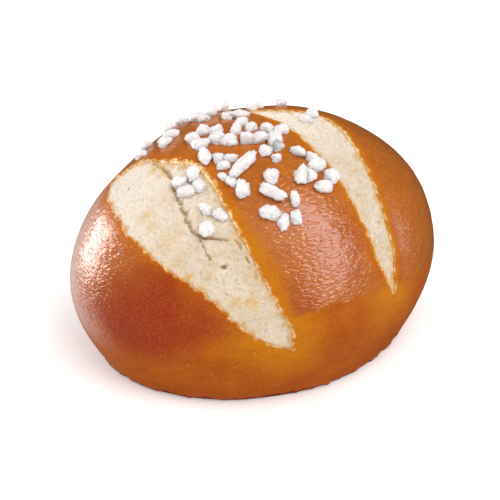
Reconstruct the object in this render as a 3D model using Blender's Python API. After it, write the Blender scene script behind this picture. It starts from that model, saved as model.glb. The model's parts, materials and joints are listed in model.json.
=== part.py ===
"""A salted pretzel roll: an oval bun with a flat underside, two knife cuts that opened across its
top in the oven and show the pale crumb, and coarse salt grains baked on.

Metres, +Z up. The roll's long axis lies along X, its underside on Z = 0, its middle over the origin.
The roll is one solid: a dome, less the two opened cuts, joined with the grains.
"""

import math
import random

import bmesh
import bpy
from mathutils import Euler, Matrix, Vector, noise
from mathutils.bvhtree import BVHTree

MM = 0.001

# The bun. Its widest level is low, and the flank below it turns in to a flat underside.
LENGTH = 92 * MM
WIDTH = 75 * MM
HEIGHT = 53 * MM
WIDEST_LEVEL = 18.8 * MM
BASE_SHARE = 0.83  # the underside's outline against the widest one
PLAN_POWER = 1.92  # 2 is an ellipse, and less is leaner at the diagonals
FLANK_POWER = 1.8
LEAN = Vector((1.2, 1.1, 0)) * MM  # how far the top leans from the middle of the widest level
LUMP_HEIGHT = 0.45 * MM
LUMP_SIZE = 21 * MM
DENT_DEPTH = 1.1 * MM  # the crust sank behind the left cut's rear end
DENT_WAY = Vector((-0.62, 0.55, 0.56))  # from the heart
DENT_BREADTH = 0.28  # against the distance from the heart
CRUST_CELLS = 22  # faces along each edge of the cube that the bun is shaped from

# The cuts run over the roll from front (-Y) to rear. A place along one is the angle round this line,
# which lies along X: 0 points up, -90 to the front.
AXIS_LEVEL = 10 * MM
CUTTER_HEIGHT = 6 * MM  # how far a cutter stands out of the crust
CUTTER_TIP = 0.2 * MM  # the least that its edges stay apart
CUT_CELLS_LONG = 36

# Each edge row is an angle and the X of the cut's two edges there, in mm. The depths are those of
# the crumb under the crust's own surface at the low-X and the high-X edge, and it bulges between.
LEFT_CUT = {
    "edges": (
        (-80, -13.9, -12.9),
        (-75, -19.2, -12.8),
        (-66, -23.9, -14.6),
        (-54, -28.2, -17.0),
        (-38, -33.5, -18.4),
        (-14, -36.6, -18.6),
        (-6, -36.5, -18.9),
        (0, -36.1, -21.2),
        (6, -35.5, -22.8),
        (17, -33.9, -24.4),
        (26, -30.0, -28.8),
    ),
    "depths": (0.7, 1.7),
    "bulge": 0.6,
    "ledge": 1.0,  # the crumb that tore up on the high-X side
    "cells_wide": 14,
}
RIGHT_CUT = {
    "edges": (
        (-72, 14.9, 15.5),
        (-62, 11.9, 15.9),
        (-48, 10.0, 16.7),
        (-28, 8.6, 17.9),
        (-10, 7.1, 19.7),
        (-2, 5.9, 19.0),
        (5, 4.6, 14.2),
        (12, 3.8, 5.0),
    ),
    "depths": (1.1, 0.9),
    "bulge": 0.2,
    "ledge": 0,
    "cells_wide": 10,
}
# The ledge is a tongue from the high-X edge. Its tip is an angle and a place across the cut, and
# its two sides reach that edge this many degrees in front of the tip and behind it.
LEDGE_TIP = (-26, 0.12)
LEDGE_FRONT, LEDGE_REAR = 12.7, 34.4
LEDGE_RAMP = 0.13  # across the cut, over which it rises
LEDGE_DROOP = 0.6  # how much of its height it loses again by the high-X edge

# Coarse salt. A grain's length is along its heading; its breadth and thickness are shares of that.
GRAIN_BREADTH = 0.8
GRAIN_THICKNESS = 0.7
MOST_BREADTH = 2.7 * MM  # a longer grain is a splinter
GRAIN_RADIUS = 0.55  # of its corners, so that its flat faces come to about the stated size
GRAIN_LIFT = 0.16  # of its middle over the bread, against its length
GRAIN_JITTER = 0.15  # of a corner, against the grain's size
GRAIN_VARIETY = 0.12  # of a grain's length, inside one cluster
GRAIN_TILT = 14
# Each row is one cluster, as a baker's pinch falls: x and y of its middle, how many grains lie
# round that middle, their length, and the heading in degrees of the first one (0 is +X).
SALT_CLUSTERS = (
    (-11.8, 2.0, 5, 3.4, 150),
    (-15.9, -4.1, 1, 3.8, 65),
    (-3.5, 0.0, 3, 3.3, 70),
    (-7.2, -4.4, 2, 3.8, 150),
    (-3.4, -6.3, 1, 3.8, -20),
    (2.1, -4.6, 2, 3.2, -40),
    (-0.1, -8.4, 1, 4.6, 58),
    (-2.7, -11.4, 3, 3.1, 150),
    (-13.3, -8.0, 3, 2.7, 110),
    (-10.9, -11.8, 1, 6.2, 15),
    (-15.1, -12.7, 2, 2.5, 110),
    (-13.4, -16.2, 1, 4.2, 60),
    (-6.7, -16.7, 1, 3.4, 60),
    (-8.6, -20.1, 1, 5.6, -62),
    (-11.2, -23.1, 1, 4.7, -42),
    (-9.0, -25.6, 1, 3.4, 62),
    (-5.2, -24.6, 2, 3.3, 65),
    (3.9, -14.5, 2, 3.8, 135),
    (0.0, -19.0, 1, 4.4, 58),
    (4.2, -20.0, 4, 3.7, 75),
    (14.8, 0.4, 2, 3.3, 38),
    (-1.4, 7.0, 2, 3.2, -37),
    (-16.3, 11.5, 2, 3.2, 30),
    (-22.4, 13.6, 1, 2.9, -20),
    (-18.0, 19.0, 1, 3.0, 10),
    (-8.6, 21.4, 2, 3.0, -10),
    (6.6, 10.8, 2, 3.0, 20),
    (13.7, 10.4, 1, 3.2, 60),
    (-21.8, -7.4, 4, 3.4, 130),
    (-21.1, -16.0, 2, 3.1, -55),
    (-23.9, -18.2, 1, 3.3, 70),
    (-5.5, 14.0, 3, 3.0, 0),
    (2.0, 18.6, 2, 3.1, 75),
    (1.0, 26.0, 1, 3.3, 20),
)
SALT_SEED = 5

UP = Vector((0, 0, 1))
HEART = Vector((0, 0, WIDEST_LEVEL))  # every ray from here meets the crust once
DOME_HEIGHT = HEIGHT - WIDEST_LEVEL
FLANK_DEPTH = WIDEST_LEVEL / (1 - BASE_SHARE**FLANK_POWER) ** (1 / FLANK_POWER)
SEARCH_STEPS = 32
FURTHEST = 1.2 * LENGTH / 2
FLAT = 0.01 * MM  # a face is part of the underside if all its corners are lower
SLIVER = 0.02 * MM
SHARP_EDGE = math.radians(35)


def smooth_step(low, high, value):
    share = min(max((value - low) / (high - low), 0), 1)
    return share * share * (3 - 2 * share)


def plan_radius(turn):
    """From the middle to the widest outline, in the plan direction turn."""
    along = abs(math.cos(turn)) / (LENGTH / 2)
    across = abs(math.sin(turn)) / (WIDTH / 2)
    return (along**PLAN_POWER + across**PLAN_POWER) ** (-1 / PLAN_POWER)


def crust_radius(direction):
    """From the heart to the crust, before the top leans."""
    level = math.hypot(direction.x, direction.y)
    plan = level / plan_radius(math.atan2(direction.y, direction.x))
    if direction.z >= 0:
        radius = (plan**2 + (direction.z / DOME_HEIGHT) ** 2) ** -0.5
    else:
        down = -direction.z
        flank = (plan**FLANK_POWER + (down / FLANK_DEPTH) ** FLANK_POWER) ** (-1 / FLANK_POWER)
        radius = min(flank, WIDEST_LEVEL / down)
    height = WIDEST_LEVEL + radius * direction.z
    lump = LUMP_HEIGHT * noise.noise(direction * (LENGTH / 2 / LUMP_SIZE))
    dent = DENT_DEPTH * math.exp(-(((direction - DENT_WAY).length / DENT_BREADTH) ** 2))
    return radius + lump * smooth_step(0, WIDEST_LEVEL, height) - dent


def lean_at(height):
    return LEAN * ((height - WIDEST_LEVEL) / HEIGHT)


def find_crust(start, direction):
    """The point where a ray from inside the bun leaves it."""
    near, far = 0, FURTHEST
    for _ in range(SEARCH_STEPS):
        reach = (near + far) / 2
        point = start + direction * reach
        upright = point - lean_at(point.z) - HEART
        if upright.length < crust_radius(upright.normalized()):
            near = reach
        else:
            far = reach
    return start + direction * near


def crust_point(corner):
    """Where a corner of the cube's surface, from -1 to 1 each way, goes on the bun."""
    x, y, z = (math.tan(value * math.pi / 4) for value in corner)
    turn = math.atan2(y, x)
    heading = Vector((math.cos(turn), math.sin(turn), 0))
    base_radius = BASE_SHARE * plan_radius(turn)
    if math.isclose(corner.z, -1, abs_tol=1e-6):
        point = heading * (base_radius * max(abs(x), abs(y)))
        return point + lean_at(0)
    cube_edge = math.pi / 2 + math.atan(max(abs(heading.x), abs(heading.y)))
    bun_edge = math.pi / 2 + math.atan(WIDEST_LEVEL / base_radius)
    polar = math.atan2(math.hypot(x, y), z) / cube_edge * bun_edge
    direction = heading * math.sin(polar) + Vector((0, 0, math.cos(polar)))
    point = HEART + direction * crust_radius(direction)
    return point + lean_at(point.z)


def edge_places(rows, angle):
    """The X of a cut's two edges at an angle, by a smooth curve through the rows."""
    last = len(rows) - 2
    first = min(sum(angle >= row[0] for row in rows[1:]), last)
    near, far = rows[first], rows[first + 1]
    span = far[0] - near[0]
    share = (angle - near[0]) / span
    places = []
    for side in (1, 2):
        slopes = []
        for number in (first, first + 1):
            before, after = rows[max(number - 1, 0)], rows[min(number + 1, last + 1)]
            slopes.append((after[side] - before[side]) / (after[0] - before[0]) * span)
        rise = far[side] - near[side]
        bend = share * (1 - share) * ((1 - share) * (slopes[0] - rise) - share * (slopes[1] - rise))
        places.append((near[side] + share * rise + bend) * MM)
    return places


def cut_place(cut, angle, across):
    """The crust point and outward direction at a place in a cut. across is from -1 to 1, towards +X."""
    low, high = edge_places(cut["edges"], angle)
    half_width = max(high - low, CUTTER_TIP) / 2
    turn = math.radians(angle)
    outward = Vector((0, math.sin(turn), math.cos(turn)))
    start = Vector(((low + high) / 2 + across * half_width, 0, AXIS_LEVEL))
    return find_crust(start, outward), outward


def crumb_depth(cut, angle, across):
    """How far the crumb lies under the crust's own surface."""
    low_side, high_side = cut["depths"]
    depth = low_side + (high_side - low_side) * (across + 1) / 2
    depth -= cut["bulge"] * (1 - across**2)
    tip_angle, tip_across = LEDGE_TIP
    reach = (angle - tip_angle) / (LEDGE_REAR if angle > tip_angle else LEDGE_FRONT)
    side = tip_across + (1 - tip_across) * reach**2
    raised = smooth_step(side - LEDGE_RAMP, side, across)
    raised *= 1 - LEDGE_DROOP * smooth_step(0.5, 1, across)
    return (depth - cut["ledge"] * raised) * MM


def new_object(name, bm, collection):
    """The mesh as triangles, because a Boolean cuts only flat faces cleanly."""
    bmesh.ops.triangulate(bm, faces=bm.faces)
    bmesh.ops.recalc_face_normals(bm, faces=bm.faces)
    mesh = bpy.data.meshes.new(name)
    bm.to_mesh(mesh)
    bm.free()
    made = bpy.data.objects.new(name, mesh)
    collection.objects.link(made)
    return made


def make_bun(collection):
    """The uncut bun, shaped from a cube so that its faces are of even size."""
    bm = bmesh.new()
    bmesh.ops.create_cube(bm, size=2)
    bmesh.ops.subdivide_edges(bm, edges=bm.edges, cuts=CRUST_CELLS - 1, use_grid_fill=True)
    for corner in bm.verts:
        corner.co = crust_point(corner.co)
    underside = [face for face in bm.faces if all(abs(v.co.z) < FLAT for v in face.verts)]
    bmesh.ops.dissolve_faces(bm, faces=underside, use_verts=True)
    return new_object("pretzel_roll", bm, collection)


def make_cutter(name, cut, collection):
    """What an opened cut takes out of the bun. Its floor is the crumb's surface."""
    bm = bmesh.new()
    bmesh.ops.create_grid(bm, x_segments=CUT_CELLS_LONG, y_segments=cut["cells_wide"], size=1)
    lid = bmesh.ops.extrude_face_region(bm, geom=list(bm.faces), use_keep_orig=True)["geom"]
    lid_corners = {item for item in lid if isinstance(item, bmesh.types.BMVert)}
    front, rear = cut["edges"][0][0], cut["edges"][-1][0]
    for corner in bm.verts:
        angle = min(max(front + (rear - front) * (corner.co.x + 1) / 2, front), rear)
        across = corner.co.y
        place, outward = cut_place(cut, angle, across)
        rise = CUTTER_HEIGHT if corner in lid_corners else -crumb_depth(cut, angle, across)
        corner.co = place + outward * rise
    return new_object(name, bm, collection)


def make_grain(place, upright, size, heading, draw, collection):
    """One coarse salt crystal, half sunk in the bread: a round body with its corners pulled about."""
    bm = bmesh.new()
    bmesh.ops.create_icosphere(bm, subdivisions=1, radius=GRAIN_RADIUS)
    for corner in bm.verts:
        corner.co *= 1 + draw.uniform(-GRAIN_JITTER, GRAIN_JITTER)
    tilt = [math.radians(draw.uniform(-GRAIN_TILT, GRAIN_TILT)) for _ in range(2)]
    turned = UP.rotation_difference(upright).to_matrix() @ Euler((*tilt, heading)).to_matrix()
    breadth = min(size * GRAIN_BREADTH, MOST_BREADTH)
    thickness = min(size * GRAIN_THICKNESS, MOST_BREADTH)
    stretch = Matrix.Diagonal((size, breadth, thickness, 1))
    middle = place + upright * (GRAIN_LIFT * size)
    bm.transform(Matrix.Translation(middle) @ turned.to_4x4() @ stretch)
    new_object("grain", bm, collection)


def salt_places():
    """Each grain's x, y and length in mm and its heading. The grains of a cluster lie in a ring."""
    draw = random.Random(SALT_SEED)
    for x, y, count, length, heading in SALT_CLUSTERS:
        ring = 0 if count == 1 else 0.5 * length / math.sin(math.pi / count)
        for number in range(count):
            bearing = math.radians(heading) + 2 * math.pi * number / count
            turn = bearing if count < 3 else draw.uniform(0, math.pi)
            size = length * (1 + draw.uniform(-GRAIN_VARIETY, GRAIN_VARIETY))
            yield x + ring * math.cos(bearing), y + ring * math.sin(bearing), size, turn


def scatter_salt(roll, collection):
    """Grains on the roll as it's cut, so that those over a cut lie on the crumb."""
    draw = random.Random(SALT_SEED)
    bread = BVHTree.FromObject(roll, bpy.context.evaluated_depsgraph_get())
    for x, y, size, turn in salt_places():
        above = Vector((x * MM, y * MM, 2 * HEIGHT))
        place, upright = bread.ray_cast(above, -UP)[:2]
        make_grain(place, upright, size * MM, turn, draw, collection)


def apply_boolean(target, operation, collection):
    """Joins or cuts with every object of the collection, which then goes."""
    modifier = target.modifiers.new(collection.name, "BOOLEAN")
    modifier.operation = operation
    modifier.solver = "EXACT"
    modifier.operand_type = "COLLECTION"
    modifier.collection = collection
    graph = bpy.context.evaluated_depsgraph_get()
    result = bpy.data.meshes.new_from_object(target.evaluated_get(graph))
    target.modifiers.clear()
    target.data = result
    for helper in list(collection.objects):
        bpy.data.objects.remove(helper)
    bpy.data.collections.remove(collection)


def merge_slivers(target):
    """Takes out the specks that a Boolean leaves where two meshes cross near a corner."""
    bm = bmesh.new()
    bm.from_mesh(target.data)
    bmesh.ops.remove_doubles(bm, verts=bm.verts, dist=SLIVER)
    bm.to_mesh(target.data)
    bm.free()


def crust_material():
    """Glossy brown crust."""
    material = bpy.data.materials.new("baked_crust")
    material.use_nodes = True
    shader = material.node_tree.nodes["Principled BSDF"]
    shader.inputs["Base Color"].default_value = (0.42, 0.12, 0.015, 1)
    shader.inputs["Roughness"].default_value = 0.35
    shader.inputs["Metallic"].default_value = 0
    return material


def new_collection(name):
    collection = bpy.data.collections.new(name)
    bpy.context.scene.collection.children.link(collection)
    return collection


def main():
    for old in list(bpy.data.objects):
        bpy.data.objects.remove(old)
    roll = make_bun(new_collection("pretzel_roll"))

    cutters = new_collection("cutters")
    make_cutter("left_cutter", LEFT_CUT, cutters)
    make_cutter("right_cutter", RIGHT_CUT, cutters)
    apply_boolean(roll, "DIFFERENCE", cutters)

    salt = new_collection("salt")
    scatter_salt(roll, salt)
    apply_boolean(roll, "UNION", salt)
    merge_slivers(roll)

    roll.data.materials.clear()
    roll.data.materials.append(crust_material())
    roll.data.shade_smooth()
    roll.data.set_sharp_from_angle(angle=SHARP_EDGE)


main()
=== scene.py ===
"""The looks of the salted pretzel roll: its crust, the crumb that shows in its two cuts, and the salt.

Forms are made in millimetres from the same named sizes as the part's source, with finer relief, and
become metres where their meshes are made. A place on the roll is its x and its angle, in degrees,
round a line along X at AXIS_LEVEL: 0 points up, -90 to the front. Constants named WAVES hold rows of
noise: a size, a height, the octaves, and a shift that makes each one its own. Constants named FADE
hold where something starts and where it is complete.
"""

import json
import math
import random

import bmesh
import bpy
import numpy as np
from mathutils import Euler, Matrix, Vector, noise
from mathutils.bvhtree import BVHTree
from mathutils.kdtree import KDTree

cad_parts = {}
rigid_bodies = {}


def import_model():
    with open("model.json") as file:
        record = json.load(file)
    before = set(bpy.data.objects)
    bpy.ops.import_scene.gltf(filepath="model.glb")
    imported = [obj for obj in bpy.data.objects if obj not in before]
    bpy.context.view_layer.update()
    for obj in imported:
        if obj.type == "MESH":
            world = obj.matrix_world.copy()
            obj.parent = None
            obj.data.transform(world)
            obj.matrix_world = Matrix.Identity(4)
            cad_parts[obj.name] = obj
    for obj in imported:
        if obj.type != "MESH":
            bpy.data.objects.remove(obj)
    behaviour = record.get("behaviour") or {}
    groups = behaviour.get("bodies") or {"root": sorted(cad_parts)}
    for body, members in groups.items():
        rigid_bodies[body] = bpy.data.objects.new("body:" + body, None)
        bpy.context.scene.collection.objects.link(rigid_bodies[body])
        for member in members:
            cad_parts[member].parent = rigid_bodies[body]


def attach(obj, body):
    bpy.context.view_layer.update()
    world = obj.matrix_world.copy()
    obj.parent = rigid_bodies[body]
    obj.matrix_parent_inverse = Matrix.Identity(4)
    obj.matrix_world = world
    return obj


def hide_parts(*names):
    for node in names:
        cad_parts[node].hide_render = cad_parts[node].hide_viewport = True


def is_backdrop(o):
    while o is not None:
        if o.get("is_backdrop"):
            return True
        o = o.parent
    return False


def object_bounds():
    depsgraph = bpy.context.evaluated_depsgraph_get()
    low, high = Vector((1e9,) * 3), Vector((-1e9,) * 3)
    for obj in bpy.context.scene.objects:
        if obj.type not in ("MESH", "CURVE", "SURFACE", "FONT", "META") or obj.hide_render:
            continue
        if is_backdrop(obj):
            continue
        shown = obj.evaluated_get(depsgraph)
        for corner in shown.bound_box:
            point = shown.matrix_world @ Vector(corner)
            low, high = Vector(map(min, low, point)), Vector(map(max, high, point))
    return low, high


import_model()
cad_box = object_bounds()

MM = 0.001

# The bun, as in the part's source.
LENGTH = 92
WIDTH = 75
HEIGHT = 53
WIDEST_LEVEL = 18.8
BASE_SHARE = 0.83
PLAN_POWER = 1.92
FLANK_POWER = 1.8
LEAN = np.array((1.2, 1.1, 0))
LUMP_HEIGHT = 0.45
LUMP_SIZE = 21
DENT_DEPTH = 1.1
DENT_WAY = np.array((-0.62, 0.55, 0.56))
DENT_BREADTH = 0.28
CRUST_CELLS = 104  # along each edge of the cube that becomes the bun
SHARP_ANGLE = 50  # creases from this angle on stay sharp

# Fine relief of the crust, the lip that it raises along the cuts, and its ragged foot.
BLISTER_WAVES = ((3.2, 0.05, 2, 5),)
LOW_LIP = 0.05  # on the low-X side of a cut
LIP_SETBACK = 0.9
LIP_WIDTH = 1.4
LIFT_FADE = (0.5, 4)
FOOT_FADE = (3.0, 0.6)
FOOT_SPREAD = 0.35  # of the ragged foot over the table
FOOT_WAVES = ((3.1, 0.55, 2, 2), (1.5, 0.4, 1, 4))
UNDERSIDE_LEVEL = 0.01  # what lies lower keeps its place

AXIS_LEVEL = 10
MM_PER_DEGREE = 0.65  # along the crust, round the roll
CUTTER_HEIGHT = 6
GROOVE_CLEARANCE = 1.0  # of the groove's floor under the crumb's surface
GROOVE_CELLS = (220, 14)
SLAB_THICKNESS = 2.2
SLAB_MARGIN = 0.8  # how far the crumb reaches under the crust
END_MARGIN = 1.2  # the same at the cut's ends, in degrees

# Each edge row is an angle and the x of the cut's two edges there. The depths are those of the crumb
# under the crust's surface at the low-X and the high-X edge, and it bulges between. "flush" is its
# depth right at those edges, and "lip" how far the crust rises beside the high-X one. "gold" is how
# wide the unbrowned crust is beside the low-X and the high-X edge, what the second one gains, at
# which angle, and over how many degrees. "frayed" is how far the torn edge widens on the high-X
# side, at which angle, and over how many degrees.
LEFT_CUT = {
    "edges": (
        (-80, -13.9, -12.9),
        (-75, -19.2, -12.8),
        (-66, -23.9, -14.6),
        (-54, -28.2, -17.0),
        (-38, -33.5, -18.4),
        (-14, -36.6, -18.6),
        (-6, -36.5, -18.9),
        (0, -36.1, -21.2),
        (6, -35.5, -22.8),
        (17, -33.9, -24.4),
        (26, -30.0, -28.8),
    ),
    "depths": (0.7, 1.7),
    "bulge": 0.6,
    "flush": (0.15, 0.3),
    "lip": 0.16,
    "gold": (0.2, 0.15, 3.2, -48, 18),
    "frayed": (0.8, -10, 16),
    "shift": 4.9,
    "cells": (300, 84),
}
RIGHT_CUT = {
    "edges": (
        (-72, 14.9, 15.5),
        (-62, 11.9, 15.9),
        (-48, 10.0, 16.7),
        (-28, 8.6, 17.9),
        (-10, 7.1, 19.7),
        (-2, 5.9, 19.0),
        (5, 4.6, 14.2),
        (12, 3.8, 5.0),
    ),
    "depths": (1.1, 0.9),
    "bulge": 0.2,
    "flush": (0.15, 0.15),
    "lip": 0.08,
    "gold": (0.6, 0.9, 0, 0, 1),
    "frayed": (0.5, -12, 14),
    "shift": 7.7,
    "cells": (250, 56),
}
CUTS = {"left": LEFT_CUT, "right": RIGHT_CUT}
RAG_WAVES = ((5.0, 0.35, 1, 0), (2.2, 0.4, 1, 0), (0.9, 0.2, 1, 0))
RAG_FADE = (0, 4)  # in degrees from the cut's ends
EDGE_SPACING = 9.0  # between the two edges' places in the noise
LEAST_WIDTH = 0.2
OUTLINE_STEPS = 900  # along each edge of a cut's outline
CAP_STEPS = 12  # across each of its ends

# The crumb's relief. It sinks from the edges to its level over RIM_FADE.
CRUMB_WAVES = ((4.5, 0.26, 2, 0), (1.7, 0.2, 2, 7), (0.75, 0.2, 2, 3))
RIM_FADE = (-0.2, 3.0)
LEAST_DEPTH = 0.12
MARGIN_FADE = (0.05, -SLAB_MARGIN)
MARGIN_DROP = 1.0  # of the margin under the crust

# The tear in the left cut and its side crack, as places along them. The crumb on the tear's high-X
# side stands higher, as a ledge with a hollow at its foot.
RIFT = ((10, -23.6), (-2, -23.0), (-7, -24.2), (-17, -25.6), (-27.5, -26.3), (-32, -25.0), (-37, -20.6))
SIDE_CRACK = ((-32.7, -25.7), (-37.4, -25.9), (-41, -25.4))
TEAR_WAVES = ((1.5, 0.45, 3, 11), (0.55, 0.22, 1, 17))
TEAR_WIDTH = 0.26
TEAR_DEPTH = 0.25
LEDGE_TEAR_DEPTH = 0.7  # what the ledge adds to that
LEDGE_TEAR_FADE = (-39, -30)
CRACK_WIDTH = 0.24
CRACK_DEPTH = 0.25
CRACK_WANDER = 0.8  # the share of the tear's waves that it follows
CRACK_TINT = 0.9  # how dark its painted shade is, when the tear is 1
LEDGE_HEIGHT = 0.9
LEDGE_REAR_FADE = (14, 2)
LEDGE_FRONT_FADE = (-37, -31)
LEDGE_FACE = (-0.25, 0.25)  # over these distances from the tear, the ledge rises
LEDGE_BACK = (2, 7)  # over these, half of its height goes again
LEDGE_HOLLOW_DEPTH = 0.4
LEDGE_HOLLOW_WIDTH = 2.4

# The gap between crumb and crust along the left cut's high-X edge.
GAP_FRONT_FADE = (-56, -50)
GAP_REAR_FADE = (-16, -24)
GAP_SETBACK = 0.85
GAP_WIDTH = 0.27
GAP_DEPTH = 0.55
GAP_WAVES = ((2.0, 0.35, 2, 21),)
GAP_BREAK_WAVES = ((2.6, 1, 2, 33),)
GAP_BREAK_FADE = (-0.35, 0.35)

# Pits in the crumb of the left cut: angle, x, radius and depth. Both cuts also have small ones.
PITS = ((-45.1, -23.6, 0.75, 1.0), (8.5, -31.0, 0.6, 0.8))
SMALL_PITS = 110
SMALL_PIT_RADII = (0.14, 0.4)
PIT_SEED = 3
PIT_SHAPE = (0.8, 0.7)  # what a degree and a millimetre of x count in a pit's radius
PIT_WAVES = ((0.9, 0.3, 1, 15),)
PIT_FLOOR = 0.3  # the floor's share of the radius
PIT_SHARE = 0.8  # of the depth
PIT_TINT = 1.2  # how dark the painted shade in a pit is, by its depth in mm
# Yellow stains on the crumb: angle, x, radius and strength.
STAINS = (
    (-11, -32.2, 1.6, 0.9),
    (-17, -32.6, 1.5, 0.6),
    (-27, -32, 2.6, 0.7),
    (-36, -31.6, 1.8, 0.5),
    (-47, -27.3, 1.0, 0.8),
    (-60, -20.2, 1.5, 1.5),
    (-58, -23.4, 1.2, 1.2),
    (-43.5, -30.6, 0.6, 2.0),
    (-50, -29.0, 1.0, 0.9),
    (-11, -27.4, 1.6, 0.6),
    (1.5, -23.6, 1.5, 1.2),
    (7, -24.4, 1.3, 1.2),
)

# The browned skin ends in front at these heights over the table: x, height, and how gradually.
SKIN_LEVELS = (
    (-46, 12.5, 5),
    (-38, 13.5, 5),
    (-30, 19, 4),
    (-22, 22, 3),
    (-13, 23.8, 0.7),
    (-2, 24.6, 0.5),
    (8, 24, 0.6),
    (14, 23, 1.2),
    (24, 21, 2.5),
    (46, 17, 4),
)
REAR_SKIN_LEVEL = 19
REAR_SKIN_SOFTNESS = 4
REAR_FADE = (0, 20)
# Where the oven caught the crust more: a middle, a radius and a strength.
TOASTED = (
    ((-38, -21, 22), 13, 1.0),
    ((-44, -6, 16), 16, 0.5),
    ((-25, -31, 19), 8, 0.4),
    ((-10, -35, 27), 6, 0.4),
    ((1, -31, 36), 12, 0.5),
    ((-41, 0, 36), 9, 0.2),
    ((19, -32, 28), 8, 0.3),
    ((32, 4, 34), 14, 0.5),
    ((-10, 34, 28), 18, 0.5),
)
GOLD_FADE = (2.2, 0.2)  # in widths of the golden band beside a cut
GLOW_FADE = (12, 0)  # of the brighter gold round the cuts
FAR_FROM_CUTS = -9.0  # the distance that stands for all of the crust further away

# Where the crust broke into flakes beside the left cut: angle, x and radius.
FLAKY = ((-4, -19.8, 1.5), (1, -21.2, 1.6), (5, -23.0, 1.5))
# Where the skin is smooth and dull: a middle, a radius and how much.
CALM_MIDDLE = (-33, -27, 19)
CALM_RADIUS = 12
CALM_SHARE = 0.85
# The wrinkles are a little deeper towards the ends of the roll.
END_WRINKLES = 0.15
END_FADE = (16, 28)

# Coarse salt, as in the part's source.
GRAIN_BREADTH = 0.8
GRAIN_THICKNESS = 0.7
MOST_BREADTH = 2.7
GRAIN_LIFT = 0.16
GRAIN_VARIETY = 0.12
GRAIN_TILT = 14
# Each cluster is its x, y, number of grains, their length, and its heading in degrees.
SALT_CLUSTERS = (
    (-11.8, 2.0, 5, 3.4, 150),
    (-15.9, -4.1, 1, 3.8, 65),
    (-3.5, 0.0, 3, 3.3, 70),
    (-7.2, -4.4, 2, 3.8, 150),
    (-3.4, -6.3, 1, 3.8, -20),
    (2.1, -4.6, 2, 3.2, -40),
    (-0.1, -8.4, 1, 4.6, 58),
    (-2.7, -11.4, 3, 3.1, 150),
    (-13.3, -8.0, 3, 2.7, 110),
    (-10.9, -11.8, 1, 6.2, 15),
    (-15.1, -12.7, 2, 2.5, 110),
    (-13.4, -16.2, 1, 4.2, 60),
    (-6.7, -16.7, 1, 3.4, 60),
    (-8.6, -20.1, 1, 5.6, -62),
    (-11.2, -23.1, 1, 4.7, -42),
    (-9.0, -25.6, 1, 3.4, 62),
    (-5.2, -24.6, 2, 3.3, 65),
    (3.9, -14.5, 2, 3.8, 135),
    (0.0, -19.0, 1, 4.4, 58),
    (4.2, -20.0, 4, 3.7, 75),
    (14.8, 0.4, 2, 3.3, 38),
    (-1.4, 7.0, 2, 3.2, -37),
    (-16.3, 11.5, 2, 3.2, 30),
    (-22.4, 13.6, 1, 2.9, -20),
    (-18.0, 19.0, 1, 3.0, 10),
    (-8.6, 21.4, 2, 3.0, -10),
    (6.6, 10.8, 2, 3.0, 20),
    (13.7, 10.4, 1, 3.2, 60),
    (-21.8, -7.4, 4, 3.4, 130),
    (-21.1, -16.0, 2, 3.1, -55),
    (-23.9, -18.2, 1, 3.3, 70),
    (-5.5, 14.0, 3, 3.0, 0),
    (2.0, 18.6, 2, 3.1, 75),
    (1.0, 26.0, 1, 3.3, 20),
)
SALT_SEED = 5
# A grain's form here: planes at these distances from its middle, their edges rounded by the power.
GRAIN_SUBDIVISIONS = 4
GRAIN_PLANES = 14
PLANE_DISTANCES = (0.74, 1.1)
GRAIN_POWER = 7
MOST_RADIUS = 1.2
GRAIN_WAVES = ((0.62, 0.16, 1, 0), (0.26, 0.2, 3, 0))
GRAIN_SCALE = 0.56  # from a radius of 1 to half of the grain's length
DROP_HEIGHT = 0.2  # over the table, in metres

# Screen colours.
TINTS = {
    "belt": (159, 73, 7),
    "mottled belt": (171, 86, 6),
    "golden": (186, 110, 5),
    "brown": (185, 101, 14),
    "toast": (153, 45, 6),
    # the colour of the painted glints in the speckles
    "speckle_and_painted_glint": (226, 150, 80),
    "streak": (142, 62, 6),
    # painted shade in the grooves between the wrinkles
    "groove": (138, 60, 8),
    "foot": (172, 84, 40),
    "foot line": (116, 42, 18),
    "frayed rim": (212, 158, 92),
    "frayed": (234, 212, 174),
    "flake rim": (218, 164, 92),
    "flake": (234, 214, 182),
    "crumb": (230, 214, 195),
    "warm crumb": (221, 200, 171),
    # painted light from above and behind on the crumb towards the rear
    "painted light rear crumb": (245, 233, 218),
    "stain": (224, 180, 104),
    # flecks and fibres: partly the crumb's own texture, partly painted shade in its pores
    "fleck_and_pore_shade": (216, 180, 126),
    "fibre_and_pore_shade": (204, 164, 112),
    # painted shade in pits, cracks and the gap
    "hollow": (172, 128, 70),
    "crumb edge": (216, 166, 96),
    "salt": (224, 218, 217),
    "frost": (238, 233, 232),
    "floor": (248, 248, 248),
}

# Soft windows round the roll: name, azimuth, elevation, distance, width, height, radiance, and the
# turn in their own plane, in degrees and metres. The lamps light the roll, and the mirrored ones
# show only in its gloss.
LAMPS = (
    ("rear_left_fill", -120, 35, 0.75, 0.3, 0.3, 4.4, 0),
    ("front_key", 8, 58, 0.9, 0.7, 0.7, 3.0, 0),
    ("right_key", 78, 48, 0.8, 0.3, 0.3, 2.0, 0),
)
MIRRORED = (
    ("left_window", -142, 11, 0.75, 0.46, 0.5, 10.5, 0),
    ("front_window", 31, 34, 0.9, 0.27, 1.15, 6.8, -7),
    ("right_window", 74, 6, 0.9, 0.14, 0.5, 2.6, 0),
)
LIGHT_AIM = (0, 0, 0.03)  # in metres
# The world lights the roll evenly. The gloss mirrors it dark, but for a glow low at the rear left.
WORLD_STRENGTH = 0.66
GLOW_WAY = (-160, -22)
GLOW_NEARNESS = (0.75, 1.0)  # the cosine of the angle to that way
GLOW_STRENGTHS = (0.04, 1.4)
FLOOR_REACH = 2  # from the middle to each side, in metres
FLOOR_CELLS = 8

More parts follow.
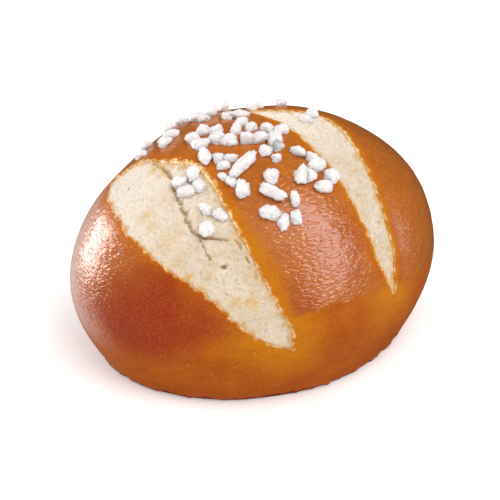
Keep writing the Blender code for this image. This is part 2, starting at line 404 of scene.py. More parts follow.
CAMERA_AZIMUTH = -32
CAMERA_ELEVATION = 29
CAMERA_DISTANCE = 0.38  # in metres, from its aim in mm
CAMERA_AIM = (-0.43, -0.39, 23.85)
CAMERA_LENS = 115.2
CAMERA_SENSOR = 36
CAMERA_SHIFT = (-0.0097, -0.02536)

HEART = np.array((0, 0, WIDEST_LEVEL))
DOME_HEIGHT = HEIGHT - WIDEST_LEVEL
DOME_AXES = np.array((LENGTH, WIDTH, 2 * DOME_HEIGHT))
FLANK_DEPTH = WIDEST_LEVEL / (1 - BASE_SHARE**FLANK_POWER) ** (1 / FLANK_POWER)
SEARCH_STEPS = 18
FURTHEST = 1.2 * LENGTH / 2


def smooth_step(low, high, value):
    share = np.clip((value - low) / (high - low), 0, 1)
    return share * share * (3 - 2 * share)


def bump(distance, width):
    return np.exp(-((distance / width) ** 2))


def noise_of(points, size, octaves=1, shift=0.0):
    """Smooth noise of about -1 to 1 at points in mm, with features of this size."""
    places = (np.asarray(points) / size + shift).tolist()
    if octaves == 1:
        return np.array([noise.noise(place) for place in places])
    return np.array([noise.fractal(place, 1, 2, octaves) for place in places])


def waves(points, rows, shift=0.0):
    """The sum of the rows' noise at these points."""
    return sum(height * noise_of(points, size, octaves, own + shift) for size, height, octaves, own in rows)


def plan_radius(turn):
    along = np.abs(np.cos(turn)) / (LENGTH / 2)
    across = np.abs(np.sin(turn)) / (WIDTH / 2)
    return (along**PLAN_POWER + across**PLAN_POWER) ** (-1 / PLAN_POWER)


def crust_radius(way):
    """From the heart to the crust along these unit vectors, before the top leans."""
    plan = np.hypot(way[:, 0], way[:, 1]) / plan_radius(np.arctan2(way[:, 1], way[:, 0]))
    dome = (plan**2 + (way[:, 2] / DOME_HEIGHT) ** 2) ** -0.5
    down = np.maximum(-way[:, 2], 1e-9)
    flank = (plan**FLANK_POWER + (down / FLANK_DEPTH) ** FLANK_POWER) ** (-1 / FLANK_POWER)
    radius = np.where(way[:, 2] >= 0, dome, np.minimum(flank, WIDEST_LEVEL / down))
    height = WIDEST_LEVEL + radius * way[:, 2]
    lump = LUMP_HEIGHT * noise_of(way, LUMP_SIZE / (LENGTH / 2))
    dent = DENT_DEPTH * bump(np.linalg.norm(way - DENT_WAY, axis=1), DENT_BREADTH)
    return radius + lump * smooth_step(0, WIDEST_LEVEL, height) - dent


def lean_at(height):
    return LEAN * ((np.atleast_1d(height) - WIDEST_LEVEL) / HEIGHT)[:, None]


def find_crust(start, way):
    """The points where rays from inside the bun leave it."""
    near, far = np.zeros(len(start)), np.full(len(start), FURTHEST)
    for _ in range(SEARCH_STEPS):
        reach = (near + far) / 2
        point = start + way * reach[:, None]
        upright = point - lean_at(point[:, 2]) - HEART
        length = np.linalg.norm(upright, axis=1)
        inside = length < crust_radius(upright / length[:, None])
        near, far = np.where(inside, reach, near), np.where(inside, far, reach)
    return start + way * near[:, None]


def crust_points(corners):
    """Where corners of the cube's surface, from -1 to 1 each way, go on the bun."""
    x, y, z = np.tan(corners * math.pi / 4).T
    turn = np.arctan2(y, x)
    heading = np.column_stack((np.cos(turn), np.sin(turn), np.zeros(len(turn))))
    base_radius = BASE_SHARE * plan_radius(turn)
    cube_edge = math.pi / 2 + np.arctan(np.abs(heading).max(axis=1))
    bun_edge = math.pi / 2 + np.arctan(WIDEST_LEVEL / base_radius)
    polar = np.arctan2(np.hypot(x, y), z) / cube_edge * bun_edge
    way = heading * np.sin(polar)[:, None]
    way[:, 2] = np.cos(polar)
    points = HEART + way * crust_radius(way)[:, None]
    points += lean_at(points[:, 2])
    underside = heading * (base_radius * np.maximum(np.abs(x), np.abs(y)))[:, None] + lean_at(0)
    return np.where(corners[:, 2:] < -1 + 1e-6, underside, points)


def smooth_curve(rows, at):
    """The other columns of the rows at values of the first one, by a smooth curve through them."""
    rows = np.array(rows, float)
    knots, values = rows[:, 0], rows[:, 1:]
    ahead = np.minimum(np.arange(len(rows)) + 1, len(rows) - 1)
    behind = np.maximum(np.arange(len(rows)) - 1, 0)
    slopes = (values[ahead] - values[behind]) / (knots[ahead] - knots[behind])[:, None]
    first = np.clip(np.searchsorted(knots, at, side="right") - 1, 0, len(rows) - 2)
    span = (knots[first + 1] - knots[first])[:, None]
    share = (at[:, None] - knots[first][:, None]) / span
    rise = values[first + 1] - values[first]
    start, end = slopes[first] * span - rise, slopes[first + 1] * span - rise
    return values[first] + share * rise + share * (1 - share) * ((1 - share) * start - share * end)


def end_angles(cut):
    """The angles of a cut's front and rear ends."""
    return cut["edges"][0][0], cut["edges"][-1][0]


def edge_places(cut, angle):
    """The x of a cut's two ragged edges at these angles, which may lie past its ends."""
    front, rear = end_angles(cut)
    held = np.clip(angle, front, rear)
    edges = smooth_curve(cut["edges"], held)
    fade = smooth_step(*RAG_FADE, np.minimum(held - front, rear - held))
    for side in (0, 1):
        along = np.zeros((len(held), 3))
        along[:, 0] = held * MM_PER_DEGREE
        along[:, 1] = EDGE_SPACING * side
        edges[:, side] += fade * waves(along, RAG_WAVES, cut["shift"])
    edges[:, 1] = np.maximum(edges[:, 1], edges[:, 0] + LEAST_WIDTH)
    return edges.T


def crust_at(angle, x):
    """The crust point and the outward direction at places on the roll."""
    turn = np.radians(angle)
    outward = np.column_stack((np.zeros(len(turn)), np.sin(turn), np.cos(turn)))
    start = np.column_stack((x, np.zeros(len(turn)), np.full(len(turn), float(AXIS_LEVEL))))
    return find_crust(start, outward), outward


def angle_of(points):
    return np.degrees(np.arctan2(points[:, 1], points[:, 2] - AXIS_LEVEL))


def outline_tree(cut):
    """The cut's outline on the crust, as a tree to measure distances from."""
    angle = np.linspace(*end_angles(cut), OUTLINE_STEPS)
    low, high = edge_places(cut, angle)
    angles, xs = [angle, angle], [low, high]
    for end in (0, -1):
        angles.append(np.full(CAP_STEPS, angle[end]))
        xs.append(low[end] + (high[end] - low[end]) * np.linspace(0, 1, CAP_STEPS))
    points, _ = crust_at(np.concatenate(angles), np.concatenate(xs))
    tree = KDTree(len(points))
    for number, point in enumerate(points.tolist()):
        tree.insert(point, number)
    tree.balance()
    return tree


def rim_distance(cut, points):
    """How far points lie inside the cut's outline, negative outside it, and if its high-X side is nearer."""
    angle = angle_of(points)
    front, rear = end_angles(cut)
    low, high = edge_places(cut, angle)
    x = points[:, 0]
    inside = (x > low) & (x < high) & (angle > front) & (angle < rear)
    nearest = np.array([cut["tree"].find(point)[2] for point in points.tolist()])
    return np.where(inside, nearest, -nearest), x > (low + high) / 2


def line_distance(angle, x, line):
    """From places on the roll to a broken line of such places, in mm along the crust."""
    spots = np.column_stack((angle * MM_PER_DEGREE, x))
    corners = np.array(line, float) * (MM_PER_DEGREE, 1)
    nearest = np.full(len(spots), np.inf)
    for start, end in zip(corners[:-1], corners[1:]):
        step = end - start
        share = np.clip((spots - start) @ step / (step @ step), 0, 1)
        nearest = np.minimum(nearest, np.linalg.norm(spots - start - share[:, None] * step, axis=1))
    return nearest


def add_object(name, data):
    made = bpy.data.objects.new(name, data)
    bpy.context.scene.collection.objects.link(made)
    return made


def mesh_object(name, points, triangles):
    mesh = bpy.data.meshes.new(name)
    mesh.from_pydata((points * MM).tolist(), [], triangles.tolist())
    bm = bmesh.new()
    bm.from_mesh(mesh)
    bmesh.ops.recalc_face_normals(bm, faces=bm.faces)
    bm.to_mesh(mesh)
    bm.free()
    mesh.shade_smooth()
    return add_object(name, mesh)


def grid_places(front, rear, cells):
    """The angles of a grid of places along a cut, and their shares of the way across it."""
    rows, columns = cells
    return np.repeat(np.linspace(front, rear, rows), columns), np.tile(np.linspace(0, 1, columns), rows)


def slab(name, cells, top, under):
    """A closed body between two grids of points."""
    rows, columns = cells
    number = np.arange(rows * columns).reshape(rows, columns)
    quads = np.stack((number[:-1, :-1], number[1:, :-1], number[1:, 1:], number[:-1, 1:]), -1)
    quads = quads.reshape(-1, 4)
    loop = np.concatenate((number[0], number[1:, -1], number[-1, -2::-1], number[-2:0:-1, 0]))
    after = np.roll(loop, -1)
    far = rows * columns
    sides = np.column_stack((loop, after, after + far, loop + far))
    quads = np.concatenate((quads, quads[:, ::-1] + far, sides))
    triangles = np.concatenate((quads[:, :3], quads[:, (0, 2, 3)]))
    return mesh_object(name, np.concatenate((top, under)), triangles)


def set_attribute(made, name, values):
    layer = made.data.attributes.new(name, "FLOAT", "POINT")
    layer.data.foreach_set("value", values.astype(np.float32))


def points_of(made, unit=MM):
    points = np.empty(len(made.data.vertices) * 3, np.float32)
    made.data.vertices.foreach_get("co", points)
    return points.reshape(-1, 3).astype(float) / unit


def crumb_level(cut, across):
    """How far the crumb as a whole lies under the crust's surface, from -1 to 1 across the cut."""
    low_side, high_side = cut["depths"]
    level = low_side + (high_side - low_side) * (across + 1) / 2
    return level - cut["bulge"] * (1 - across**2)


def crumb_pits(cut):
    """Each pit's angle, x, radius and depth."""
    draw = random.Random(PIT_SEED)
    ranges = (end_angles(cut), (0, 1), SMALL_PIT_RADII)
    drawn = [[draw.uniform(*bounds) for bounds in ranges] for _ in range(SMALL_PITS)]
    edges = edge_places(cut, np.array([angle for angle, _, _ in drawn]))
    pits = []
    for (angle, share, radius), low, high in zip(drawn, *edges):
        pits.append((angle, low + (high - low) * share, radius, radius))
    if cut is LEFT_CUT:
        pits += PITS
    return pits


def tear_relief(angle, x, points):
    """What the tear and its ledge add to the left crumb's level, and how much painted shade they put in the
    tear and the crack.
    """
    wander = waves(points, TEAR_WAVES)
    rift_x = np.interp(-angle, [-row[0] for row in RIFT], [row[1] for row in RIFT])
    past = x - rift_x + wander
    along = smooth_step(*LEDGE_REAR_FADE, angle) * smooth_step(*LEDGE_FRONT_FADE, angle)
    relief = LEDGE_HEIGHT * along * smooth_step(*LEDGE_FACE, past)
    relief *= 1 - smooth_step(*LEDGE_BACK, past) / 2
    relief -= LEDGE_HOLLOW_DEPTH * along * bump(np.minimum(past, 0), LEDGE_HOLLOW_WIDTH)
    torn = bump(line_distance(angle, x + wander, RIFT), TEAR_WIDTH)
    crack = bump(line_distance(angle, x + wander * CRACK_WANDER, SIDE_CRACK), CRACK_WIDTH)
    relief -= LEDGE_TEAR_DEPTH * torn * smooth_step(*LEDGE_TEAR_FADE, angle)
    relief -= TEAR_DEPTH * torn + CRACK_DEPTH * crack
    return relief, np.maximum(torn, crack * CRACK_TINT)


def crumb_relief(cut, angle, x, points):
    """What the crumb's surface adds to its level, and how much painted shade each place gets from its
    hollows, from 0 to 1.
    """
    relief = waves(points, CRUMB_WAVES)
    hollow = np.zeros(len(points))
    warp = waves(points, PIT_WAVES)
    for at, place, radius, depth in crumb_pits(cut):
        distance = np.hypot((angle - at) * PIT_SHAPE[0], (x - place) * PIT_SHAPE[1]) + warp
        pit = 1 - smooth_step(PIT_FLOOR * radius, radius, distance)
        relief -= depth * pit * PIT_SHARE
        hollow = np.maximum(hollow, pit * min(1, depth * PIT_TINT))
    if cut is LEFT_CUT:
        torn_relief, torn = tear_relief(angle, x, points)
        relief += torn_relief
        hollow = np.maximum(hollow, torn)
    return relief, hollow


def crust_gap(angle, rim, high_side, points):
    """Where the crumb has come away from the crust along the left cut's high-X edge, from 0 to 1."""
    along = high_side * smooth_step(*GAP_FRONT_FADE, angle) * smooth_step(*GAP_REAR_FADE, angle)
    gap = bump(rim - GAP_SETBACK - waves(points, GAP_WAVES), GAP_WIDTH)
    return along * gap * smooth_step(*GAP_BREAK_FADE, waves(points, GAP_BREAK_WAVES))


def make_crumb(name, cut):
    front, rear = end_angles(cut)
    angle, share = grid_places(front - END_MARGIN, rear + END_MARGIN, cut["cells"])
    low, high = edge_places(cut, angle)
    x = low - SLAB_MARGIN + (high - low + 2 * SLAB_MARGIN) * share
    across = np.clip((2 * x - low - high) / (high - low), -1, 1)
    points, outward = crust_at(angle, x)
    rim, high_side = rim_distance(cut, points)
    relief, hollow = crumb_relief(cut, angle, x, points)
    depth = crumb_level(cut, across) - relief
    flush = np.where(high_side, *cut["flush"][::-1])
    depth = flush + (depth - flush) * smooth_step(*RIM_FADE, rim)
    stain = np.zeros(len(points))
    if cut is LEFT_CUT:
        gap = crust_gap(angle, rim, high_side, points)
        depth += GAP_DEPTH * gap
        # The gap gets painted shadow too.
        hollow = np.maximum(hollow, gap)
        for at, place, radius, strength in STAINS:
            stain += strength * bump(np.hypot((angle - at) * MM_PER_DEGREE, x - place), radius)
    depth = np.maximum(depth, LEAST_DEPTH)
    depth += MARGIN_DROP * smooth_step(*MARGIN_FADE, rim)
    top = points - outward * depth[:, None]
    under = points - outward * (depth + SLAB_THICKNESS)[:, None]
    made = slab(name, cut["cells"], top, under)
    for title, values in (("rim", rim), ("hollow", hollow), ("stain", stain)):
        set_attribute(made, title, np.tile(values, 2))
    return made


def make_groove(name, cut):
    """What comes out of the crust. Its floor is under the crumb."""
    angle, share = grid_places(*end_angles(cut), GROOVE_CELLS)
    low, high = edge_places(cut, angle)
    points, outward = crust_at(angle, low + (high - low) * share)
    depth = crumb_level(cut, 2 * share - 1) + GROOVE_CLEARANCE
    return slab(name, GROOVE_CELLS, points + outward * CUTTER_HEIGHT, points - outward * depth[:, None])


def whole_crust():
    """The crust before it is cut: a cube's surface, laid on the bun."""
    bm = bmesh.new()
    bmesh.ops.create_cube(bm, size=2)
    bmesh.ops.subdivide_edges(bm, edges=bm.edges, cuts=CRUST_CELLS - 1, use_grid_fill=True)
    bmesh.ops.triangulate(bm, faces=bm.faces)
    mesh = bpy.data.meshes.new("crust")
    bm.to_mesh(mesh)
    bm.free()
    crust = add_object("crust", mesh)
    points = crust_points(points_of(crust, 1))
    height = points[:, 2]
    outward = points - HEART
    outward /= np.linalg.norm(outward, axis=1)[:, None]
    lift = waves(points, BLISTER_WAVES)
    for cut in CUTS.values():
        rim, high_side = rim_distance(cut, points)
        lift += np.where(high_side, cut["lip"], LOW_LIP) * bump(rim + LIP_SETBACK, LIP_WIDTH)
    points += outward * (lift * smooth_step(*LIFT_FADE, height))[:, None]
    foot = smooth_step(*FOOT_FADE, height) * (height > UNDERSIDE_LEVEL)
    spread = foot * (FOOT_SPREAD + waves(points, FOOT_WAVES))
    points[:, :2] += outward[:, :2] * spread[:, None]
    mesh.vertices.foreach_set("co", (points * MM).astype(np.float32).ravel())
    mesh.update()
    return crust


def make_crust():
    crust = whole_crust()
    grooves = bpy.data.collections.new("grooves")
    for name, cut in CUTS.items():
        groove = make_groove(f"groove_{name}", cut)
        bpy.context.scene.collection.objects.unlink(groove)
        grooves.objects.link(groove)
    modifier = crust.modifiers.new("grooves", "BOOLEAN")
    modifier.operand_type = "COLLECTION"
    modifier.collection = grooves
    modifier.solver = "MANIFOLD"
    graph = bpy.context.evaluated_depsgraph_get()
    cut_mesh = bpy.data.meshes.new_from_object(crust.evaluated_get(graph))
    crust.modifiers.clear()
    crust.data = cut_mesh
    for groove in list(grooves.objects):
        bpy.data.objects.remove(groove)
    bpy.data.collections.remove(grooves)
    cut_mesh.shade_smooth()
    cut_mesh.set_sharp_from_angle(angle=math.radians(SHARP_ANGLE))
    add_crust_zones(crust)
    return crust


def add_crust_zones(crust):
    """Attributes that say where the crust is browned, golden, torn or wrinkled."""
    points = points_of(crust)
    x = points[:, 0]
    angle = angle_of(points)
    level, softness = smooth_curve(SKIN_LEVELS, np.clip(x, SKIN_LEVELS[0][0], SKIN_LEVELS[-1][0])).T
    rear = smooth_step(*REAR_FADE, points[:, 1])
    skin = points[:, 2] - (level * (1 - rear) + REAR_SKIN_LEVEL * rear)
    soft = softness * (1 - rear) + REAR_SKIN_SOFTNESS * rear
    toast = np.zeros(len(points))
    for middle, radius, strength in TOASTED:
        toast += strength * bump(np.linalg.norm(points - middle, axis=1), radius)
    gold = np.zeros(len(points))
    glow = np.zeros(len(points))
    torn = np.full(len(points), FAR_FROM_CUTS)
    for cut in CUTS.values():
        rim, high_side = rim_distance(cut, points)
        low_width, high_width, gain, at, reach = cut["gold"]
        width = np.where(high_side, high_width + gain * bump(angle - at, reach), low_width)
        widening, at, reach = cut["frayed"]
        rim += np.where(high_side, widening * bump(angle - at, reach), 0)
        gold = np.maximum(gold, smooth_step(*GOLD_FADE, -rim / width))
        glow = np.maximum(glow, smooth_step(*GLOW_FADE, -rim))
        torn = np.maximum(torn, rim)
    gloss = 1 - CALM_SHARE * bump(np.linalg.norm(points - CALM_MIDDLE, axis=1), CALM_RADIUS)
    wrinkles = gloss * (1 + END_WRINKLES * smooth_step(*END_FADE, np.abs(x)))
    flake = np.zeros(len(points))
    for at, place, radius in FLAKY:
        flake += bump(np.hypot((angle - at) * MM_PER_DEGREE, x - place), radius)
    zones = {"skin": skin, "soft": soft, "toast": toast, "gold": gold, "glow": glow, "torn": torn}
    zones |= {"flake": flake, "gloss": gloss, "wrinkles": wrinkles}
    for name, values in zones.items():
        set_attribute(crust, name, values)


def grain_radius(ways, shape):
    """From a grain's middle to its surface along these unit vectors, with the next random form."""
    planes = shape.normal(size=(GRAIN_PLANES, 3))
    distances = shape.uniform(*PLANE_DISTANCES, GRAIN_PLANES)
    planes /= np.linalg.norm(planes, axis=1)[:, None] * distances[:, None]
    radius = (np.maximum(ways @ planes.T, 0) ** GRAIN_POWER).sum(axis=1) ** (-1 / GRAIN_POWER)
    return np.minimum(radius, MOST_RADIUS) + waves(ways, GRAIN_WAVES, shape.uniform(0, 90, 3))


def make_salt(breads):
    """Coarse crystals: bodies between random planes, worn round at their edges."""
    trees = [BVHTree.FromObject(bread, bpy.context.evaluated_depsgraph_get()) for bread in breads]
    bm = bmesh.new()
    bmesh.ops.create_icosphere(bm, subdivisions=GRAIN_SUBDIVISIONS, radius=1)
    ways = np.array([corner.co for corner in bm.verts])
    ways /= np.linalg.norm(ways, axis=1)[:, None]
    faces = np.array([[corner.index for corner in face.verts] for face in bm.faces])
    bm.free()
    draw = random.Random(SALT_SEED)
    shape = np.random.default_rng(SALT_SEED)
    points, triangles = [], []
    for x, y, size, heading in salt_places():
        start = Vector((x * MM, y * MM, DROP_HEIGHT))
        hits = [tree.ray_cast(start, Vector((0, 0, -1)))[0] for tree in trees]
        place = np.array(max((hit for hit in hits if hit), key=lambda hit: hit.z)) / MM
        upright = Vector((place - HEART) / DOME_AXES**2).normalized()  # as on an ellipsoid
        tilt = [math.radians(draw.uniform(-GRAIN_TILT, GRAIN_TILT)) for _ in range(2)]
        turned = Vector((0, 0, 1)).rotation_difference(upright).to_matrix()
        turned = np.array(turned @ Euler((*tilt, heading)).to_matrix())
        breadth, thickness = np.minimum((size * GRAIN_BREADTH, size * GRAIN_THICKNESS), MOST_BREADTH)
        stretch = np.array((size, breadth, thickness)) * GRAIN_SCALE
        grain = (ways * grain_radius(ways, shape)[:, None] * stretch) @ turned.T
        triangles.append(faces + len(ways) * len(points))
        points.append(grain + place + np.array(upright) * GRAIN_LIFT * size)
    return mesh_object("salt_grains", np.concatenate(points), np.concatenate(triangles))


def salt_places():
    """Each grain's x, y and length in mm and its heading. The grains of a cluster lie in a ring."""
    draw = random.Random(SALT_SEED)
    for x, y, count, length, heading in SALT_CLUSTERS:
        ring = 0 if count == 1 else 0.5 * length / math.sin(math.pi / count)
        for number in range(count):
            bearing = math.radians(heading) + 2 * math.pi * number / count
            turn = bearing if count < 3 else draw.uniform(0, math.pi)
            size = length * (1 + draw.uniform(-GRAIN_VARIETY, GRAIN_VARIETY))
            yield x + ring * math.cos(bearing), y + ring * math.sin(bearing), size, turn


def tint(name):
    """A named screen colour as Blender's linear one."""
    shares = [value / 255 for value in TINTS[name]]
    return (*[s / 12.92 if s <= 0.04045 else ((s + 0.055) / 1.055) ** 2.4 for s in shares], 1)


class Nodes:
    """Makes the nodes of one tree."""

    def __init__(self, tree):
        self.tree = tree

    def node(self, kind, inputs=(), **settings):
        made = self.tree.nodes.new("ShaderNode" + kind)
        for name, value in settings.items():
            setattr(made, name, value)
        for name, value in dict(inputs).items():
            self.feed(made.inputs[name], value)
        return made

    def feed(self, socket, value):
        if isinstance(value, bpy.types.NodeSocket):
            self.tree.links.new(value, socket)
        else:
            socket.default_value = value

    def scaled(self, value, low, high, to_low=0.0, to_high=1.0):
        """value, moved from one range to another and held inside it."""
        inputs = {"Value": value, "From Min": low, "From Max": high, "To Min": to_low, "To Max": to_high}
        return self.node("MapRange", inputs, interpolation_type="SMOOTHSTEP").outputs["Result"]


class Shading(Nodes):
    """Makes the nodes of one material."""

    def __init__(self, name):
        self.material = bpy.data.materials.new(name)
        self.material.use_nodes = True
        super().__init__(self.material.node_tree)
        self.place = self.node("TexCoord").outputs["Object"]

    def math(self, operation, *values, clamp=False):
        inputs = dict(enumerate(values))
        return self.node("Math", inputs, operation=operation, use_clamp=clamp).outputs[0]

    def mix(self, share, first, second):
        """From the first colour to the second one. A colour is a socket or the name of a tint."""
        made = self.node("Mix", data_type="RGBA")
        factor, first_colour, second_colour = (made.inputs[number] for number in (0, 6, 7))
        self.feed(factor, share)
        self.feed(first_colour, tint(first) if isinstance(first, str) else first)
        self.feed(second_colour, tint(second) if isinstance(second, str) else second)
        return made.outputs[2]

    def attribute(self, name):
        return self.node("Attribute", attribute_name=name).outputs["Fac"]

    def axis(self, name):
        return self.node("SeparateXYZ", {"Vector": self.place}).outputs[name]

    def noise(self, size, detail, place=None, roughness=0.5):
        """Noise from 0 to 1 with features of this size in mm."""
        inputs = {"Vector": self.place if place is None else place, "Scale": 1 / (size * MM)}
        inputs |= {"Detail": detail, "Roughness": roughness}
        return self.node("TexNoise", inputs).outputs["Fac"]

    def cells(self, size, place):
        """The distance to the nearest border between cells of this size in mm."""
        inputs = {"Vector": place, "Scale": 1 / (size * MM)}
        return self.node("TexVoronoi", inputs, feature="DISTANCE_TO_EDGE").outputs["Distance"]

    def warped(self, place, size, amount):
        """place, pushed about by up to half of amount, in mm, over features of this size."""
        push = self.node("TexNoise", {"Vector": place, "Scale": 1 / (size * MM)}).outputs["Color"]
        inputs = {0: push, 1: (amount * MM,) * 3, 2: place}
        return self.node("VectorMath", inputs, operation="MULTIPLY_ADD").outputs["Vector"]

    def stretched(self, x, y, z):
        return self.node("Mapping", {"Vector": self.place, "Scale": (x, y, z)}).outputs["Vector"]

    def bumps(self, height, distance, normal=None):
        """distance is in mm, for a height from 0 to 1."""
        inputs = {"Height": height, "Distance": distance * MM, "Strength": 1.0}
        if normal is not None:
            inputs["Normal"] = normal
        return self.node("Bump", inputs).outputs["Normal"]

    def finish(self, inputs):
        """Feeds the shader's inputs. A number that is the same all over is set on the input itself."""
        for name, value in inputs.items():
            self.feed(self.tree.nodes["Principled BSDF"].inputs[name], value)
        return self.material


def crust_material():
    make = Shading("baked_crust")
    mottle = make.noise(7, 4)
    patch = make.noise(2.2, 3)
    speckle_and_painted_glint = make.noise(0.5, 2)

    # How browned each place is: the skin over its ragged lower end, but not along the cuts.
    skin = make.math("ADD", make.attribute("skin"), make.math("MULTIPLY_ADD", patch, 3.0, -1.5))
    browned = make.scaled(make.math("DIVIDE", skin, make.attribute("soft")), -1.0, 1.0)
    band = make.attribute("gold")
    gold = make.math("ADD", band, make.math("MULTIPLY_ADD", patch, 0.8, -0.4), clamp=True)
    gold = make.math("MULTIPLY", gold, make.scaled(band, 0.0, 0.3))
    browned = make.math("MULTIPLY", browned, make.math("SUBTRACT", 1.0, gold))
    toast = make.math("MULTIPLY_ADD", mottle, 0.9, -0.45)
    toast = make.math("ADD", make.attribute("toast"), toast, clamp=True)

    # The golden belt and the brown skin over it, with painted glints as light speckles, and streaks.
    belt = make.mix(make.scaled(mottle, 0.3, 0.75), "belt", "mottled belt")
    golden = make.mix(make.attribute("glow"), belt, "golden")
    brown = make.mix(make.scaled(toast, 0.0, 1.0), "brown", "toast")
    base = make.mix(browned, golden, brown)
    # Light speckles of painted glint; the same noise also makes a fine bump.
    base = make.mix(make.scaled(speckle_and_painted_glint, 0.4, 0.75, 0.0, 0.14), base, "speckle_and_painted_glint")
    streak = make.noise(1.6, 4, make.stretched(0.35, 0.5, 1.0), 0.6)
    base = make.mix(make.scaled(streak, 0.45, 0.75, 0.0, 0.3), base, "streak")

    # Wrinkles between low pebbles, which are longer along the level lines, with painted shade in the grooves
    # between them.
    level_lines = make.stretched(0.42, 0.42, 1.1)
    pebbles = make.cells(0.88, make.warped(level_lines, 1.2, 1.1))
    pebbles = make.scaled(pebbles, 0.0, 0.35)
    # How much painted shade each wrinkle groove gets.
    groove = make.math("MULTIPLY", make.scaled(pebbles, 0.0, 0.8, 0.22, 0.0), browned)
    base = make.mix(groove, base, "groove")

    # The foot is darker, with a line right over the table.
    low = make.math("MULTIPLY_ADD", patch, 2.5 * MM, make.axis("Z"))
    base = make.mix(make.scaled(low, 2.0 * MM, 4.4 * MM, 0.8, 0.0), base, "foot")
    base = make.mix(make.scaled(low, 1.75 * MM, 2.5 * MM, 0.9, 0.0), base, "foot line")

    # The torn edges along the cuts, and flakes beside the left one.
    torn = make.attribute("torn")
    frayed = make.math("MULTIPLY_ADD", make.noise(1.3, 4), 3.0, make.math("ADD", torn, -1.45))
    base = make.mix(make.scaled(frayed, -0.5, 0.1), base, "frayed rim")
    base = make.mix(make.scaled(frayed, 0.1, 0.5), base, "frayed")
    flake = make.math("MULTIPLY_ADD", make.noise(0.9, 3), 2.4, -1.6)
    flake = make.math("ADD", make.attribute("flake"), flake)
    base = make.mix(make.scaled(flake, 0.1, 0.35), base, "flake rim")
    base = make.mix(make.scaled(flake, 0.4, 0.6), base, "flake")

    # Low relief, and a glossy coat where the skin is browned.
    wrinkled = make.math("MULTIPLY", make.attribute("wrinkles"), browned)
    normal = make.bumps(make.math("MULTIPLY", pebbles, wrinkled), 0.056)
    normal = make.bumps(patch, 0.1, normal)
    normal = make.bumps(speckle_and_painted_glint, 0.012, normal)
    rough = make.math("MULTIPLY_ADD", browned, -0.15, 0.6)
    rough = make.math("ADD", rough, make.scaled(torn, -0.2, 0.1, 0.0, 0.3))
    glossy = make.math("MULTIPLY", make.attribute("gloss"), browned)
    coat = make.math("MULTIPLY", glossy, make.scaled(torn, -1.0, -4.5, 0.1, 0.9))
    look = {"Base Color": base, "Roughness": rough, "Normal": normal, "Specular IOR Level": 0.06}
    look |= {"Coat Weight": coat, "Coat Roughness": 0.23, "Coat IOR": 1.6, "Coat Normal": normal}
    return make.finish(look)


def crumb_material():
    make = Shading("torn_crumb")
    cloud = make.noise(5, 4)
    fleck_and_pore_shade = make.noise(0.9, 3)
    fibre_and_pore_shade = make.noise(0.35, 3, make.warped(make.stretched(1.0, 0.5, 0.5), 1.5, 1.0), 0.65)

    # Cloudy cream, paler towards the rear as painted light from above and behind, with stains, and with
    # flecks and fibres that are partly the crumb's own texture and partly painted shade in its pores.
    base = make.mix(make.scaled(cloud, 0.35, 0.7), "crumb", "warm crumb")
    # Painted light from above and behind: the crumb is paler towards the rear.
    base = make.mix(make.scaled(make.axis("Y"), -22 * MM, 4 * MM, 0.0, 0.85), base, "painted light rear crumb")
    stain = make.math("MULTIPLY", make.attribute("stain"), make.scaled(fleck_and_pore_shade, 0.25, 0.65, 0.55, 1.0))
    base = make.mix(make.math("MULTIPLY", stain, 0.75, clamp=True), base, "stain")
    # Flecks and fibres, partly the crumb's own texture and partly painted shade in its pores.
    base = make.mix(make.scaled(fleck_and_pore_shade, 0.48, 0.75, 0.0, 0.45), base, "fleck_and_pore_shade")
    base = make.mix(make.scaled(fibre_and_pore_shade, 0.52, 0.72, 0.0, 0.45), base, "fibre_and_pore_shade")

    # Painted shade in pits, cracks and the gap along the crust, and baked colour along the cut's outline.
    base = make.mix(make.scaled(make.attribute("hollow"), 0.1, 1.0, 0.0, 0.85), base, "hollow")
    inset = make.math("SUBTRACT", make.attribute("rim"), 2.6)
    edge = make.math("MULTIPLY_ADD", make.noise(1.6, 4), 5.0, inset)
    base = make.mix(make.scaled(edge, -0.4, 1.4, 0.8, 0.0), base, "crumb edge")
    normal = make.bumps(fibre_and_pore_shade, 0.35, make.bumps(fleck_and_pore_shade, 0.7))
    look = {"Base Color": base, "Roughness": 0.85, "Normal": normal}
    look |= {"Subsurface Weight": 0.15, "Subsurface Scale": 1 * MM}
    return make.finish(look)


def salt_material():
    make = Shading("coarse_salt")
    frost = make.noise(0.5, 3)
    base = make.mix(make.scaled(frost, 0.3, 0.7), "salt", "frost")
    look = {"Base Color": base, "Roughness": 0.4, "Normal": make.bumps(frost, 0.12)}
    look |= {"Subsurface Weight": 0.8, "Subsurface Scale": 2 * MM, "Subsurface Radius": (1, 1, 1)}
    return make.finish(look)


def floor_material():
    glow = {"Emission Color": (1, 1, 1, 1), "Emission Strength": 0.2}
    return Shading("pale_floor").finish({"Base Color": tint("floor"), "Roughness": 0.9} | glow)


def way_of(azimuth, elevation):
    """Azimuth 0 is in front of the roll (-Y), 90 to its right."""
    turn, rise = math.radians(azimuth), math.radians(elevation)
    return Vector((math.sin(turn) * math.cos(rise), -math.cos(turn) * math.cos(rise), math.sin(rise)))


def add_light(name, azimuth, elevation, distance, width, height, radiance, tilt, mirrored):
    """A soft window. Either the glossy crust mirrors it, or it lights the roll."""
    data = bpy.data.lights.new(name, "AREA")
    data.shape = "RECTANGLE"
    data.size, data.size_y = width, height
    data.energy = radiance * math.pi * width * height
    light = add_object(name, data)
    light.visible_glossy = mirrored
    light.visible_diffuse = not mirrored
    light.visible_camera = False
    way = way_of(azimuth, elevation)
    light.location = Vector(LIGHT_AIM) + way * distance
    facing = way.to_track_quat("Z", "Y") @ Euler((0, 0, math.radians(tilt))).to_quaternion()
    light.rotation_euler = facing.to_euler()


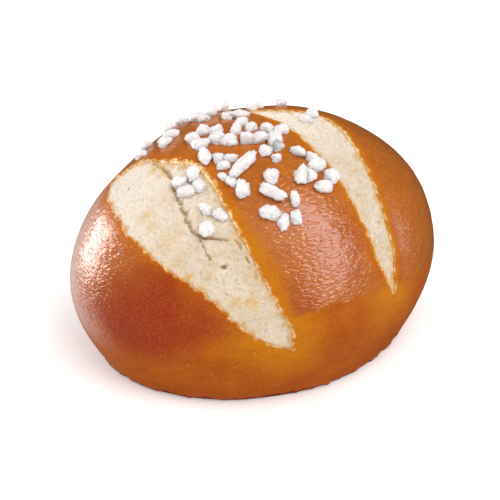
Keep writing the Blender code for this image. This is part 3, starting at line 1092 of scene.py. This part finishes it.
def add_world():
    world = bpy.data.worlds.new("studio")
    bpy.context.scene.world = world
    world.use_nodes = True
    make = Nodes(world.node_tree)
    direction = make.node("TexCoord").outputs["Generated"]
    inputs = {0: direction, 1: way_of(*GLOW_WAY)}
    nearness = make.node("VectorMath", inputs, operation="DOT_PRODUCT").outputs["Value"]
    glow = make.scaled(nearness, *GLOW_NEARNESS, *GLOW_STRENGTHS)
    mirrored = make.node("LightPath").outputs["Is Glossy Ray"]
    background = world.node_tree.nodes["Background"]
    background.inputs["Color"].default_value = (1, 1, 1, 1)
    make.feed(background.inputs["Strength"], make.scaled(mirrored, 0.0, 1.0, WORLD_STRENGTH, glow))


def add_floor():
    bm = bmesh.new()
    bmesh.ops.create_grid(bm, x_segments=FLOOR_CELLS, y_segments=FLOOR_CELLS, size=FLOOR_REACH)
    mesh = bpy.data.meshes.new("floor")
    bm.to_mesh(mesh)
    bm.free()
    floor = add_object("floor", mesh)
    floor.data.materials.append(floor_material())
    floor.visible_glossy = False  # its mirror image would hide the colour of the roll's flank
    floor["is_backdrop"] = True


def add_camera():
    back = way_of(CAMERA_AZIMUTH, CAMERA_ELEVATION)
    turn = math.radians(CAMERA_AZIMUTH)
    right = Vector((math.cos(turn), math.sin(turn), 0))
    placing = Matrix((right, back.cross(right), back)).transposed().to_4x4()
    placing.translation = Vector(CAMERA_AIM) * MM + back * CAMERA_DISTANCE
    data = bpy.data.cameras.new("camera")
    data.sensor_width = CAMERA_SENSOR
    data.lens = CAMERA_LENS
    data.shift_x, data.shift_y = CAMERA_SHIFT
    camera = add_object("camera", data)
    camera.matrix_world = placing
    bpy.context.scene.camera = camera
    bpy.context.scene.view_settings.view_transform = "Standard"


def main():
    for cut in CUTS.values():
        cut["tree"] = outline_tree(cut)
    crust = make_crust()
    crumbs = [make_crumb(f"crumb_{name}", cut) for name, cut in CUTS.items()]
    salt = make_salt([crust, *crumbs])
    dressed = [(crust, "crust", crust_material())]
    crumb_look = crumb_material()
    dressed += [(crumb, "crumb", crumb_look) for crumb in crumbs]
    dressed.append((salt, "salt", salt_material()))
    for piece, slot, material in dressed:
        piece.data.materials.clear()
        piece.data.materials.append(material)
        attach(piece, "root")
        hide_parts("pretzel_roll")
    add_world()
    for row in LAMPS:
        add_light(*row, mirrored=False)
    for row in MIRRORED:
        add_light(*row, mirrored=True)
    add_floor()
    add_camera()
    boxes = {"cad": cad_box, "visual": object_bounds()}
    {name: [list(corner) for corner in box] for name, box in boxes.items()}


main()
